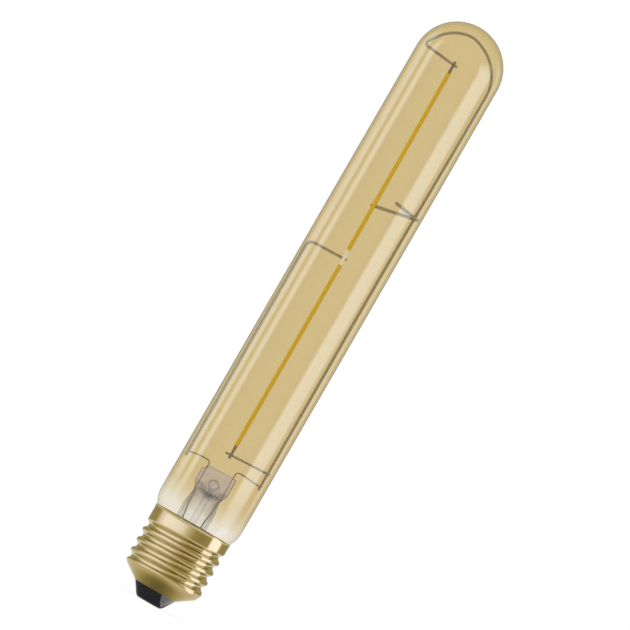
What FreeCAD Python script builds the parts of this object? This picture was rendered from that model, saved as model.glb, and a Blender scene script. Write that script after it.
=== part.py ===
# Tubular filament-style lamp with an E27 screw cap, upright: +Z from the cap to the dome.
# The origin is the middle of the centre contact's flat face. Millimetres throughout.
# X is across the plane that holds the support wires, and -Y is the side seen in front.
import math
import os

import FreeCAD
import Part

os.makedirs("parts", exist_ok=True)
V = FreeCAD.Vector
upward = V(0, 0, 1)

# Glass envelope: a tube with a round dome and a waisted neck that enters the cap
overallLength = 207.4
tubeR = 14.5
glassWall = 0.55
neckBend = 10.3
neckDepth = 7.34
neckClear = 0.55
mouthGap = 0.1

# Screw cap: thin rolled brass with the knuckle thread of the standard 27 mm cap
threadPitch = 3.629
threadCrestR = 13.2
threadDepth = 1.15
threadStart = 0.18
threadTurns = 3.5
threadFade = 0.5
threadStartAngle = 180.0
sheetSteps = 52
aroundSteps = 18
shellWall = 0.3
seatGap = 0.05
skirtHeight = 5.11
lipOut = 0.2
lipHeight = 0.85
bowlBend = 3.4
bowlSlope = 34.0
bowlEdgeR = 7.3
bowlEdgeZ = 4.36
sewTolerance = 0.025
fixTolerance = 0.005

# Insulator, centre contact and the cement that holds the neck in the skirt
contactR = 4.0
contactSlant = 0.85
contactThick = 0.7
shankR = 1.8
shankWall = 0.6
shankLength = 2.4
insulatorBase = 3.7
insulatorFloorR = 3.0
insulatorFlange = 2.1
cementHeight = 2.9
cementLevel = 0.64
cementFull = 0.8
cementTaper = 1.1

# Stem: a flared tube that narrows and is pinched flat, with a blown bubble over its tube
stemX = -0.85
stemRise = 18.66
flareR = 5.35
flareWall = 0.6
throatR = 4.6
throatHeight = 5.5
trumpetBend = 4.2
pressHalfWidth = 5.7
pressHalfDepth = 1.55
pressHeight = 5.8
pinchHeight = 3.0
pressPower = 4.0
pressCorner = 2.0
pressRound = 0.35
ringPoints = 16
ellipsePower = 2.0
ringSteps = 3
hollowSteps = 2
roofRise = 1.3
roofHalfDepth = 1.1
exhaustX = -0.6
exhaustR = 1.17
exhaustBore = 0.7
exhaustHeadR = 2.0
exhaustHeadHeight = 2.0
exhaustHeadSeat = 0.2
exhaustTailGap = 1.3
bubbleR = 2.9
blowHoleR = 1.75
blowHoleY = -1.3
blowHoleRise = 1.0

# Wires sealed in the stem
leadEdge = 1.27
innerLeadR = 0.21
outerLeadR = 0.25
leadJointRise = 1.1
leadWaistX = 3.2
leadBoardRise = 2.6
innerLeadBend = 1.1
leftShelf = 3.32
leftShelfRise = 1.2
leftWeldRise = 0.55
rightShelf = 2.62
rightShelfRise = 2.35
rightWeldRise = 1.85
innerLeadEase = 0.4
outerLeadEase = 0.3

# Support wires, cross wire and anchor
supportR = 0.45
crossWireR = 0.375
anchorR = 0.525
wrapGap = 0.03
leftGap = 0.25
leftFootIn = 0.35
leftFootBelow = 1.7
leftTipX = 0.2
leftTipRise = 0.4
leftBend = 2.1
rightGap = 1.1
rightFootIn = 0.1
rightFootBelow = 1.15
rightWaistIn = 0.55
rightWaistRise = 4.3
rightTopBelow = 14.9
domeBends = [(2.8, 1.54), (45.1, 3.1), (92.8, 2.55), (133.4, 2.26), (173.2, 1.0)]
frameEase = 0.45
hookBend = 0.95
hookTipX = -0.1
hookRise = 0.13
crossRise = 6.6
crossPast = 0.73
crossTipX = -2.55
crossTipDrop = 0.7
anchorRise = 21.8
anchorShortX = 4.4
anchorShortRise = 1.4
anchorLongX = -1.96
anchorLongDrop = 3.1
anchorTight = 0.98

# Filaments: a strip with its row of emitters under a coat, and a welded tab at each end
upperTopX = -1.33
upperBottomX = -0.93
lowerTopX = -0.75
lowerBottomX = -0.68
middleRise = 0.475
upperHeadDrop = 2.83
upperFootRise = 3.0
lowerHeadDrop = 2.3
lowerFootRise = 3.47
headTabPast = 1.27
upperFootTabPast = 0.9
lowerHeadTabPast = 1.6
footTabPast = 1.13
coatWidth = 1.3
coatDepth = 1.1
coatRound = 0.45
stripWidth = 0.8
stripThick = 0.35
claspLength = 1.1
claspWall = 0.12
tabWidth = 0.9
tabThick = 0.2
tabBite = 0.08
emitterCount = 24
emitterLength = 1.1
emitterWidth = 0.5
emitterThick = 0.15

# Driver board and what is soldered to it, in the cap under the stem
boardClear = 2.15
boardThick = 1.0
boardRise = 11.6
leadPadX = 3.6
padGap = 0.65
solderR = 0.8
solderHeight = 0.6
holeGap = 0.06
wireEnd = 0.7
canR = 3.15
canHeight = 8.2
canIn = 5.4
canSeat = 0.3
canGroove = 0.35
bungR = 2.6
bungThick = 1.3
pinPitch = 2.5
pinR = 0.25
fuseX = -3.4
fuseR = 1.2
fuseWaistR = 1.02
fuseCap = 1.2
fuseCapSlope = 0.36
fuseLength = 6.0
fuseTopGap = 1.2
fuseLeadR = 0.3
fuseLeadBend = 0.9
feedFloorGap = 1.8
feedPadIn = 1.1
feedR = 0.3
feedBend = 0.45
shellSolderR = 0.45

# Chips and chip resistors: width, depth and height of each body, with its legs or end caps
driverGap = 0.1
driverWidth = 4.9
driverHeight = 1.4
driverLegs = 4
driverLegPitch = 1.27
driverStandoff = 0.15
bridgeX = -2.6
bridgeGap = 1.25
bridgeWidth = 4.7
bridgeHeight = 2.4
bridgeLegs = 2
bridgeLegPitch = 2.54
bridgeStandoff = 0.2
chipDepth = 3.9
legWidth = 0.4
legFoot = 0.9
senseIn = 4.1
senseGap = 1.9
bleedX = 4.5
bleedIn = 5.0
resistorLength = 3.2
resistorWidth = 1.6
resistorHeight = 0.55
resistorCap = 0.5
resistorCapThick = 0.05


def save(shape, node):
    """Writes one node, after a test that its solids are sound."""
    if not shape.isValid() or not shape.Solids:
        raise ValueError(node)
    shape.exportStep("parts/" + node + ".step")
    print(node, len(shape.Solids), round(shape.Volume, 3))


def line(a, b):
    return Part.LineSegment(V(*a), V(*b)).toShape()


def arc(a, m, b):
    return Part.Arc(V(*a), V(*m), V(*b)).toShape()


def flat(points):
    """A face in the XZ plane from (radius, height) points."""
    loop = [V(r, 0, z) for r, z in points]
    return Part.Face(Part.makePolygon(loop + loop[:1]))


def spin(face):
    return face.revolve(V(0, 0, 0), upward, 360)


def turned(points):
    return spin(flat(points))


def disc(r, x, y, z, height):
    return Part.makeCylinder(r, height, V(x, y, z))


def box(width, depth, height, x, y, z):
    """A box centred on x and y, standing on z."""
    return Part.makeBox(width, depth, height, V(x - width / 2, y - depth / 2, z))


def onArc(centre, radius, degrees):
    """The (radius, height) point at an angle on an arc in the XZ plane."""
    angle = math.radians(degrees)
    return (centre[0] + radius * math.cos(angle), 0, centre[1] + radius * math.sin(angle))


def xAlong(a, b, z):
    """Where a straight wire between two (x, z) points passes a height."""
    return a[0] + (b[0] - a[0]) * (z - a[1]) / (b[1] - a[1])


def bentPath(points, radii):
    """Straight runs joined by tangent arcs, one radius for each inner point."""
    points = [V(*p) for p in points]
    edges = []
    start = points[0]
    for before, corner, after, radius in zip(points, points[1:], points[2:], radii):
        back = (before - corner).normalize()
        ahead = (after - corner).normalize()
        half = back.getAngle(ahead) / 2
        reach = radius / math.tan(half)
        middle = (back + ahead).normalize() * (radius / math.sin(half) - radius)
        first = corner + back * reach
        last = corner + ahead * reach
        edges.append(Part.LineSegment(start, first).toShape())
        edges.append(Part.Arc(first, corner + middle, last).toShape())
        start = last
    edges.append(Part.LineSegment(start, points[-1]).toShape())
    return Part.Wire(edges)


def wideBends(points, share):
    """The largest arcs that a gentle curve's runs allow."""
    points = [V(*p) for p in points]
    radii = []
    for before, corner, after in zip(points, points[1:], points[2:]):
        turn = math.pi - (before - corner).getAngle(after - corner)
        run = min(before.distanceToPoint(corner), corner.distanceToPoint(after))
        radii.append(share * run / math.tan(turn / 2))
    return radii


def wire(path, radius):
    """A round wire along a path of runs and arcs."""
    start = path.Edges[0]
    first = start.valueAt(start.FirstParameter)
    heading = start.tangentAt(start.FirstParameter)
    section = Part.Face(Part.Wire(Part.makeCircle(radius, first, heading)))
    return path.makePipe(section)


# Heights and radii of the cap, which the glass and the driver are seated in
threadRootR = threadCrestR - threadDepth
slope = math.radians(bowlSlope)
bowlCentreR = threadCrestR - bowlBend
bowlRise = bowlBend + math.sin(slope) * (bowlCentreR - bowlEdgeR)
bowlCentreZ = bowlEdgeZ + bowlRise / math.cos(slope)
threadLowZ = bowlCentreZ + threadStart
rimZ = threadLowZ + threadPitch * threadTurns + skirtHeight
lipR = threadCrestR + lipOut
insulatorFloorZ = contactThick + insulatorBase
boardR = threadRootR - shellWall - boardClear
boardLowZ = insulatorFloorZ + boardRise
boardTopZ = boardLowZ + boardThick

# Glass envelope: the body inside each surface of the glass, a wall apart
domeZ = overallLength - tubeR
neckR = threadRootR - shellWall - neckClear
neckTurn = math.degrees(math.acos(1 - (tubeR - neckR) / (2 * neckBend)))
neckBendHeight = 2 * neckBend * math.sin(math.radians(neckTurn))
neckEndZ = rimZ - neckDepth


def neckClimb(r):
    """How far above the start of the neck's bend the glass reaches a radius."""
    if r < (neckR + tubeR) / 2:
        return math.sqrt(neckBend ** 2 - (neckBend - (r - neckR)) ** 2)
    fromTube = tubeR - min(r, tubeR)
    return neckBendHeight - math.sqrt(neckBend ** 2 - (neckBend - fromTube) ** 2)


neckLowZ = rimZ - neckClimb(lipR - shellWall - mouthGap)
neckStartZ = neckLowZ + neckBendHeight


def envelopeBody(inset):
    """The solid of revolution inside a surface that lies this far within the glass."""
    r = tubeR - inset
    shoulder = neckBend - inset
    waist = neckBend + inset
    neck = neckR - inset
    shoulderCentre = (tubeR - neckBend, neckStartZ)
    waistCentre = (neckR + neckBend, neckLowZ)
    bend = onArc(waistCentre, waist, 180 - neckTurn)
    edges = [
        line((0, 0, neckEndZ), (neck, 0, neckEndZ)),
        line((neck, 0, neckEndZ), (neck, 0, neckLowZ)),
        arc((neck, 0, neckLowZ), onArc(waistCentre, waist, 180 - neckTurn / 2), bend),
        arc(bend, onArc(shoulderCentre, shoulder, -neckTurn / 2), (r, 0, neckStartZ)),
        line((r, 0, neckStartZ), (r, 0, domeZ)),
        arc((r, 0, domeZ), onArc((0, domeZ), r, 45), (0, 0, domeZ + r)),
        line((0, 0, domeZ + r), (0, 0, neckEndZ)),
    ]
    return spin(Part.Face(Part.Wire(edges)))


envelope = envelopeBody(0).cut(envelopeBody(glassWall))
save(envelope, "glass_envelope")


# Cap shell: one sheet, rolled, so the thread shows on both of its surfaces
knuckleR = ((threadPitch / 2) ** 2 / threadDepth + threadDepth) / 4


def bowlZ(r, inset):
    """Height of the bowl's sloping wall at a radius."""
    return bowlEdgeZ + (r - bowlEdgeR + inset / math.sin(slope)) * math.tan(slope)


def plainR(z, inset):
    """Radius of the sheet without its thread: a sloping bowl, its bend, the skirt and the lip."""
    bend = bowlBend - inset
    if z < bowlCentreZ - bend * math.cos(slope):
        return bowlEdgeR + (z - bowlEdgeZ) / math.tan(slope) - inset / math.sin(slope)
    if z < bowlCentreZ:
        return bowlCentreR + math.sqrt(bend ** 2 - (z - bowlCentreZ) ** 2)
    lip = max(z - rimZ + lipHeight, 0) / lipHeight
    return threadCrestR - inset + lipOut * lip ** 2


def grooveDepth(fromRoot, inset):
    """Depth of the knuckle groove: a round root between two round crests that meet it smoothly."""
    root = knuckleR + inset
    crest = knuckleR - inset
    rootCentre = threadRootR + knuckleR
    crestCentre = threadCrestR - knuckleR
    lean = math.atan2(threadPitch / 2, rootCentre - crestCentre)
    if abs(fromRoot) < root * math.sin(lean):
        r = rootCentre - math.sqrt(root ** 2 - fromRoot ** 2)
    else:
        fromCrest = threadPitch / 2 - abs(fromRoot)
        r = crestCentre + math.sqrt(crest ** 2 - fromCrest ** 2)
    return threadCrestR - inset - r


def sheetPoint(turn, z, inset):
    """A point of the sheet's surface. The groove climbs one pitch a turn and fades at both ends."""
    part = turn - threadStartAngle / 360
    turns = round((z - threadLowZ) / threadPitch - part) + part
    past = min(max(-turns, turns - threadTurns, 0) / threadFade, 1)
    fade = (1 + math.cos(math.pi * past)) / 2
    fromRoot = z - threadLowZ - threadPitch * turns
    r = plainR(z, inset) - fade * grooveDepth(fromRoot, inset)
    angle = 2 * math.pi * turn
    return V(r * math.cos(angle), r * math.sin(angle), z)


def sheetFace(inset):
    """One surface of the sheet, through points at even heights and angles."""
    rows = []
    for level in range(sheetSteps + 1):
        z = bowlEdgeZ + (rimZ - bowlEdgeZ) * level / sheetSteps
        rows.append([sheetPoint(i / aroundSteps, z, inset) for i in range(aroundSteps + 1)])
    surface = Part.BSplineSurface()
    surface.interpolate(rows)
    return surface.toShape()


def ringAt(face, z):
    """The closed edge of a sheet's surface that lies at one end of its height."""
    for edge in face.Edges:
        if edge.isClosed() and abs(edge.BoundBox.Center.z - z) < (rimZ - bowlEdgeZ) / 2:
            return Part.Wire(edge)


sheetFaces = [sheetFace(0), sheetFace(shellWall)]
for z in (bowlEdgeZ, rimZ):
    sheetFaces.append(Part.Face([ringAt(face, z) for face in sheetFaces[:2]]))
sheet = Part.makeCompound(sheetFaces)
sheet.sewShape(sewTolerance)
capShell = Part.Solid(sheet.Shells[0])
capShell.fix(fixTolerance, fixTolerance, 2 * sewTolerance)
save(capShell, "cap_shell")


# Insulator: black glass pressed into the bowl, which it grips on both sides of the edge
def bowlInside(r):
    return bowlZ(r, shellWall) + seatGap


contactSeatR = contactR + contactSlant
edgeInsideR = bowlEdgeR - shellWall / math.sin(slope)
insulatorTopR = bowlEdgeR + insulatorFlange
insulator = turned([
    (shankR, contactThick),
    (contactSeatR, contactThick),
    (bowlEdgeR, bowlEdgeZ),
    (edgeInsideR - seatGap, bowlEdgeZ),
    (edgeInsideR - seatGap, bowlInside(edgeInsideR)),
    (insulatorTopR, bowlInside(insulatorTopR)),
    (insulatorTopR - shellWall, bowlInside(insulatorTopR) + shellWall),
    (insulatorFloorR, insulatorFloorZ),
    (shankR, insulatorFloorZ),
])
save(insulator, "cap_insulator")

# Centre contact: a dished disc with a hollow shank that the feed wire is soldered in
shankBoreR = shankR - shankWall
contact = turned([
    (shankBoreR, 0), (contactR, 0), (contactSeatR, contactThick), (shankR, contactThick),
    (shankR, shankLength), (shankBoreR, shankLength)])
save(contact, "centre_contact")

# Cement: a ring between the neck and the skirt, thinner where the thread begins
cementR = threadCrestR - shellWall - seatGap
cementLowR = threadCrestR - cementTaper
cementHighZ = rimZ - cementLevel
cementFullZ = cementHighZ - cementFull
cementLowZ = cementHighZ - cementHeight
cement = turned([
    (0, cementLowZ), (cementLowR, cementLowZ), (cementR, cementFullZ),
    (cementR, cementHighZ), (0, cementHighZ)])
cement = cement.cut(envelopeBody(-seatGap))
save(cement, "capping_cement")


# Heights of the stem
pressTopZ = rimZ + stemRise
pressLowZ = pressTopZ - pressHeight
flareTopZ = pressLowZ - pinchHeight
roofZ = flareTopZ + roofRise
throatLowZ = flareTopZ - throatHeight
bubbleZ = pressLowZ
exhaustTopZ = bubbleZ - math.sqrt(bubbleR ** 2 - exhaustHeadR ** 2) + exhaustHeadSeat
exhaustTipZ = boardTopZ + exhaustTailGap

# Exhaust tube, open to the bulb at its head and melted shut at its tail
headSpread = exhaustHeadR - exhaustR
headArcR = (exhaustHeadHeight ** 2 + headSpread ** 2) / (2 * headSpread)
headTurn = math.degrees(math.asin(exhaustHeadHeight / headArcR))
headHighZ = exhaustTopZ - exhaustHeadSeat
headCentre = (exhaustR + headArcR, headHighZ - exhaustHeadHeight)
headLow = (exhaustR, 0, headCentre[1])
headHigh = (exhaustHeadR, 0, headHighZ)
tailZ = exhaustTipZ + exhaustR
boreZ = tailZ + exhaustBore
exhaustEdges = [
    line((exhaustBore, 0, exhaustTopZ), (exhaustHeadR, 0, exhaustTopZ)),
    line((exhaustHeadR, 0, exhaustTopZ), headHigh),
    arc(headHigh, onArc(headCentre, headArcR, 180 - headTurn / 2), headLow),
    line(headLow, (exhaustR, 0, tailZ)),
    arc((exhaustR, 0, tailZ), onArc((0, tailZ), exhaustR, -45), (0, 0, exhaustTipZ)),
    line((0, 0, exhaustTipZ), (0, 0, tailZ)),
    arc((0, 0, tailZ), onArc((0, boreZ), exhaustBore, -45), (exhaustBore, 0, boreZ)),
    line((exhaustBore, 0, boreZ), (exhaustBore, 0, exhaustTopZ)),
]
exhaustTube = spin(Part.Face(Part.Wire(exhaustEdges)))
exhaustTube.translate(V(exhaustX, 0, 0))
save(exhaustTube, "exhaust_tube")


# Where the support wires stand inside the glass, as (x, z) points
insideR = tubeR - glassWall
leftWeldZ = pressTopZ + leftWeldRise
rightWeldZ = pressTopZ + rightWeldRise
leftTopX = -(insideR - leftGap - supportR)
leftFoot = (leftTopX + leftFootIn, leftWeldZ - leftFootBelow)
rightTop = (insideR - rightGap - supportR, domeZ - rightTopBelow)
rightFoot = (rightTop[0] - rightFootIn, rightWeldZ - rightFootBelow)
hookTipZ = domeZ + hookRise

# The filaments hang between the hook, the left wire's tip in the middle and the cross wire
upperTopZ = hookTipZ - upperHeadDrop
crossStartZ = pressTopZ + crossRise
lowerBottomZ = crossStartZ - crossTipDrop + lowerFootRise
middleZ = (lowerBottomZ + upperTopZ) / 2 + middleRise
upperTop = (upperTopX, upperTopZ)
upperBottom = (upperBottomX, middleZ + upperFootRise)
lowerTop = (lowerTopX, middleZ - lowerHeadDrop)
lowerBottom = (lowerBottomX, lowerBottomZ)
leftTop = (leftTopX, middleZ - leftTipRise)
leftTip = (leftTipX, middleZ)
rightWaist = (rightTop[0] - rightWaistIn, middleZ + rightWaistRise)

# Support wires stand in the XZ plane, and each tab is pressed onto the front of its wire
lowerY = -(supportR - tabBite + tabThick / 2)
upperY = lowerY - tabThick


def inPlane(point):
    return (point[0], 0, point[1])


def behindTab(filamentY, radius):
    """Where a wire's axis lies when its front is pressed into a tab's back."""
    return filamentY + tabThick / 2 - tabBite + radius


leftSupport = wire(bentPath([inPlane(p) for p in (leftFoot, leftTop, leftTip)], [leftBend]), supportR)

framePoints = [inPlane(p) for p in (rightFoot, rightWaist, rightTop)]
framePoints += [onArc((0, domeZ), insideR - gap, degrees) for degrees, gap in domeBends]
framePoints.append((hookTipX, behindTab(upperY, supportR), hookTipZ))
frameBends = wideBends(framePoints, frameEase)
frameBends[-1] = hookBend
rightFrame = wire(bentPath(framePoints, frameBends), supportR)
save(leftSupport, "left_support_wire")
save(rightFrame, "right_frame_wire")


# Wires sealed in the stem: an inner lead to each support wire, an outer lead to the board
leadSpread = pressHalfWidth - leadEdge
leadJointZ = roofZ + leadJointRise
leadPads = [(side * leadPadX, -(canR + padGap + solderR)) for side in (-1, 1)]


def leadX(side, spread):
    return stemX + side * spread


def outerLead(side, pad):
    points = [
        (leadX(side, leadSpread), 0, leadJointZ),
        (leadX(side, leadSpread), 0, roofZ),
        (leadX(side, leadWaistX), 0, rimZ),
        (pad[0], pad[1], boardTopZ + leadBoardRise),
        (pad[0], pad[1], boardLowZ - wireEnd),
    ]
    return wire(bentPath(points, wideBends(points, outerLeadEase)), outerLeadR)


def innerLead(side, shelf, shelfRise, weldX, weldZ):
    points = [
        (leadX(side, leadSpread), 0, leadJointZ),
        (leadX(side, leadSpread), 0, pressTopZ + shelfRise),
        (leadX(side, leadSpread + shelf), 0, pressTopZ + shelfRise),
        (weldX, 0, weldZ),
    ]
    gentle = wideBends(points[1:], innerLeadEase)
    return wire(bentPath(points, [innerLeadBend] + gentle), innerLeadR)


leftInner = innerLead(-1, leftShelf, leftShelfRise, leftFoot[0], leftWeldZ).cut(leftSupport)
rightInner = innerLead(1, rightShelf, rightShelfRise, rightFoot[0], rightWeldZ).cut(rightFrame)
leftOuter = outerLead(-1, leadPads[0])
rightOuter = outerLead(1, leadPads[1])
save(leftInner, "left_inner_lead")
save(rightInner, "right_inner_lead")
save(leftOuter, "left_outer_lead")
save(rightOuter, "right_outer_lead")

# The cross wire passes behind the right wire and is welded to it there
crossBack = supportR + crossWireR + seatGap
crossFront = behindTab(lowerY, crossWireR)
crossStartX = xAlong(rightFoot, rightWaist, crossStartZ) + crossPast
crossPath = Part.Wire(line((crossStartX, crossBack, crossStartZ),
                           (crossTipX, crossFront, crossStartZ - crossTipDrop)))
crossWire = wire(crossPath, crossWireR)
save(crossWire, "cross_wire")

# The anchor is bent round the right wire, and its long leg backs the upper filament
wrapY = supportR + anchorR + wrapGap
backY = upperY + coatDepth / 2 + anchorR + wrapGap
anchorZ = middleZ + anchorRise
wrapX = xAlong(rightWaist, rightTop, anchorZ) + wrapY
anchorPath = bentPath([
    (anchorShortX, -wrapY, anchorZ + anchorShortRise),
    (wrapX, -wrapY, anchorZ),
    (wrapX, wrapY, anchorZ),
    (anchorLongX, backY, anchorZ - anchorLongDrop),
], [wrapY * anchorTight] * 2)
anchor = wire(anchorPath, anchorR)
save(anchor, "anchor_wire")


# Stem: tube, press and trumpet in one glass piece, with holes that fit its wires and tube
def ringAround(x, halfX, halfY, power, z):
    """A closed curve between an ellipse and a rectangle, squarer as its power grows."""
    points = []
    for step in range(ringPoints):
        angle = 2 * math.pi * step / ringPoints
        c = math.cos(angle)
        s = math.sin(angle)
        along = halfX * math.copysign(abs(c) ** (2 / power), c)
        across = halfY * math.copysign(abs(s) ** (2 / power), s)
        points.append(V(x + along, across, z))
    curve = Part.BSplineCurve()
    curve.interpolate(Points=points, PeriodicFlag=True)
    return Part.Wire(curve.toShape())


def circleAt(x, r, z):
    return Part.Wire(Part.makeCircle(r, V(x, 0, z)))


def easedRings(low, high, steps):
    """Sections that ease from one to another, each as half width, half depth, power and height."""
    rings = []
    for step in range(1, steps + 1):
        share = step / steps
        smooth = (1 - math.cos(math.pi * share)) / 2
        halfX, halfY, power = [a + (b - a) * smooth for a, b in zip(low[:3], high[:3])]
        rings.append(ringAround(stemX, halfX, halfY, power, low[3] + (high[3] - low[3]) * share))
    return rings


trumpetR = neckR - glassWall
trumpetZ = neckEndZ + trumpetBend
neckMouthR = trumpetR - trumpetBend
press = (pressHalfWidth, pressHalfDepth, pressPower, pressLowZ)
throat = (throatR, throatR, ellipsePower, flareTopZ)
outerRings = [circleAt(0, neckMouthR, trumpetZ), circleAt(stemX, flareR, rimZ),
              circleAt(stemX, flareR, throatLowZ)]
outerRings += easedRings((flareR, flareR, ellipsePower, throatLowZ), throat, ringSteps)
outerRings += easedRings(throat, press, ringSteps)

# The press has one sloping corner, and its top edge is rounded all the way round
cornerIn = (pressCorner - pressRound) / 2
outerRings.append(ringAround(stemX, pressHalfWidth, pressHalfDepth, pressPower,
                             pressTopZ - pressCorner))
outerRings.append(ringAround(stemX + cornerIn, pressHalfWidth - cornerIn, pressHalfDepth,
                             pressPower, pressTopZ - pressRound))
outerRings.append(ringAround(stemX + cornerIn, pressHalfWidth - cornerIn - pressRound,
                             pressHalfDepth - pressRound, pressPower, pressTopZ))

hollowR = flareR - flareWall
hollowThroatR = throatR - flareWall
hollowTopZ = flareTopZ - 2 * flareWall
hollowThroat = (hollowThroatR, hollowThroatR, ellipsePower, hollowTopZ)
roof = (hollowThroatR, roofHalfDepth, pressPower, roofZ)
innerRings = [circleAt(0, neckMouthR - flareWall, trumpetZ), circleAt(stemX, hollowR, rimZ),
              circleAt(stemX, hollowR, throatLowZ)]
innerRings += easedRings((hollowR, hollowR, ellipsePower, throatLowZ), hollowThroat, hollowSteps)
innerRings += easedRings(hollowThroat, roof, hollowSteps)
tube = Part.makeLoft(outerRings, True, True).cut(Part.makeLoft(innerRings, True, True))

bendCentre = (trumpetR, trumpetZ)
underBend = trumpetBend + flareWall
trumpetEdges = [
    arc((neckMouthR, 0, trumpetZ), onArc(bendCentre, trumpetBend, 225), (trumpetR, 0, neckEndZ)),
    line((trumpetR, 0, neckEndZ), (neckR, 0, neckEndZ)),
    line((neckR, 0, neckEndZ), (neckR, 0, neckEndZ - flareWall)),
    line((neckR, 0, neckEndZ - flareWall), (trumpetR, 0, neckEndZ - flareWall)),
    arc((trumpetR, 0, neckEndZ - flareWall), onArc(bendCentre, underBend, 225),
        (neckMouthR - flareWall, 0, trumpetZ)),
    line((neckMouthR - flareWall, 0, trumpetZ), (neckMouthR, 0, trumpetZ)),
]
trumpet = spin(Part.Face(Part.Wire(trumpetEdges)))

# The blow hole opens the bubble towards the front and meets the exhaust tube's bore
bubble = Part.makeSphere(bubbleR, V(exhaustX, 0, bubbleZ))
blowHoleZ = bubbleZ + blowHoleRise
blowHole = disc(exhaustBore, exhaustX, 0, exhaustTopZ, blowHoleZ - exhaustTopZ)
blowHole = blowHole.fuse(Part.makeSphere(blowHoleR, V(exhaustX, blowHoleY, blowHoleZ)))
exhaustSeat = disc(exhaustHeadR, exhaustX, 0, flareTopZ, exhaustTopZ - flareTopZ)
stem = tube.fuse(trumpet).fuse(bubble).cut(blowHole.fuse(exhaustSeat))
for lead in (leftInner, rightInner, leftOuter, rightOuter):
    stem = stem.cut(lead)
save(stem, "glass_stem")


# Filaments: built upright from the foot of the coat, then leaned along their line
def clasp(outward, tabLength, coatEnd):
    """An end tab: a sleeve that grips the strip and a flat tongue beyond it."""
    sleeve = box(stripWidth + 2 * claspWall, stripThick + 2 * claspWall, claspLength, 0, 0, 0)
    tongueFrom = claspLength - tabThick
    tongue = box(tabWidth, tabThick, tabLength - tongueFrom, 0, 0, tongueFrom)
    shape = sleeve.fuse(tongue).cut(box(stripWidth, stripThick, tongueFrom, 0, 0, 0))
    if outward < 0:
        shape.rotate(V(0, 0, 0), V(1, 0, 0), 180)
    shape.translate(V(0, 0, coatEnd))
    return shape


def filament(name, bottom, top, y, footLength, headLength, footWire, headWire):
    low = V(bottom[0], y, bottom[1])
    rise = V(top[0], y, top[1]) - low
    grip = claspLength - tabThick
    strip = box(stripWidth, stripThick, rise.Length + 2 * grip, 0, 0, -grip)
    spacing = rise.Length / emitterCount
    front = -(stripThick + emitterThick) / 2
    emitters = Part.makeCompound([
        box(emitterWidth, emitterThick, emitterLength, 0, front,
            spacing * (i + 0.5) - emitterLength / 2)
        for i in range(emitterCount)])
    coat = box(coatWidth, coatDepth, rise.Length, 0, 0, 0)
    uprights = [e for e in coat.Edges if abs(e.Length - rise.Length) < seatGap]
    coat = coat.makeFillet(coatRound, uprights).cut(strip).cut(emitters)
    foot = clasp(-1, footLength, 0)
    head = clasp(1, headLength, rise.Length)
    lean = math.degrees(math.atan2(rise.x, rise.z))
    for shape in (strip, emitters, coat, foot, head):
        shape.rotate(V(0, 0, 0), V(0, 1, 0), lean)
        shape.translate(low)
    save(strip, name + "_strip")
    save(emitters, name + "_emitters")
    save(coat, name + "_coat")
    save(foot.cut(footWire), name + "_foot_tab")
    save(head.cut(headWire), name + "_head_tab")


filament("upper_filament", upperBottom, upperTop, upperY, upperFootRise + upperFootTabPast,
         upperHeadDrop + headTabPast, leftSupport, rightFrame)
filament("lower_filament", lowerBottom, lowerTop, lowerY, lowerFootRise + footTabPast,
         lowerHeadDrop + lowerHeadTabPast, crossWire, leftSupport)


# Driver board with a hole for each wire that passes it
canX = boardR - canIn
feedPadX = boardR - feedPadIn
pins = [(canX + side * pinPitch / 2, 0) for side in (-1, 1)]
board = disc(boardR, 0, 0, boardLowZ, boardThick)
holes = [(x, y, outerLeadR) for x, y in leadPads] + [(x, y, pinR) for x, y in pins]
holes += [(fuseX, 0, fuseLeadR), (feedPadX, 0, feedR)]
for x, y, r in holes:
    board = board.cut(disc(r + holeGap, x, y, boardLowZ, boardThick))
save(board, "driver_board")


# Capacitor: a rolled can closed by a bung, hanging under the board on its two pins
canTopZ = boardLowZ - canSeat
canLowZ = canTopZ - canHeight
grooveZ = canTopZ - bungThick
can = turned([
    (0, canLowZ), (canR - canGroove, canLowZ), (canR, canLowZ + canGroove),
    (canR, grooveZ - canGroove), (canR - canGroove, grooveZ), (canR, grooveZ + canGroove),
    (canR, canTopZ), (bungR, canTopZ), (bungR, grooveZ), (0, grooveZ)])
can.translate(V(canX, 0, 0))
bung = disc(bungR, canX, 0, grooveZ, bungThick)
capacitorPins = Part.makeCompound([
    disc(pinR, x, y, canTopZ, canSeat + boardThick + wireEnd) for x, y in pins])
save(can, "capacitor_can")
save(bung, "capacitor_bung")
save(capacitorPins, "capacitor_pins")


# Fuse resistor in the lead to the centre contact
fuseTopZ = boardLowZ - fuseTopGap
fuseLowZ = fuseTopZ - fuseLength
fuse = turned([
    (0, fuseLowZ), (fuseR, fuseLowZ), (fuseR, fuseLowZ + fuseCap),
    (fuseWaistR, fuseLowZ + fuseCap + fuseCapSlope), (fuseWaistR, fuseTopZ - fuseCap - fuseCapSlope),
    (fuseR, fuseTopZ - fuseCap), (fuseR, fuseTopZ), (0, fuseTopZ)])
fuse.translate(V(fuseX, 0, 0))
fuseLead = disc(fuseLeadR, fuseX, 0, fuseTopZ, boardTopZ + wireEnd - fuseTopZ)
feedTurnZ = insulatorFloorZ + feedFloorGap
centreFeed = wire(bentPath([
    (fuseX, 0, fuseLowZ), (fuseX, 0, feedTurnZ), (0, 0, feedTurnZ), (0, 0, contactThick),
], [fuseLeadBend, fuseLeadBend]), fuseLeadR)
centreSolder = disc(shankBoreR, 0, 0, 0, shankLength).cut(centreFeed)
save(fuse, "fuse_resistor")
save(fuseLead, "fuse_board_lead")
save(centreFeed, "centre_feed_lead")
save(centreSolder, "centre_solder")


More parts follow.
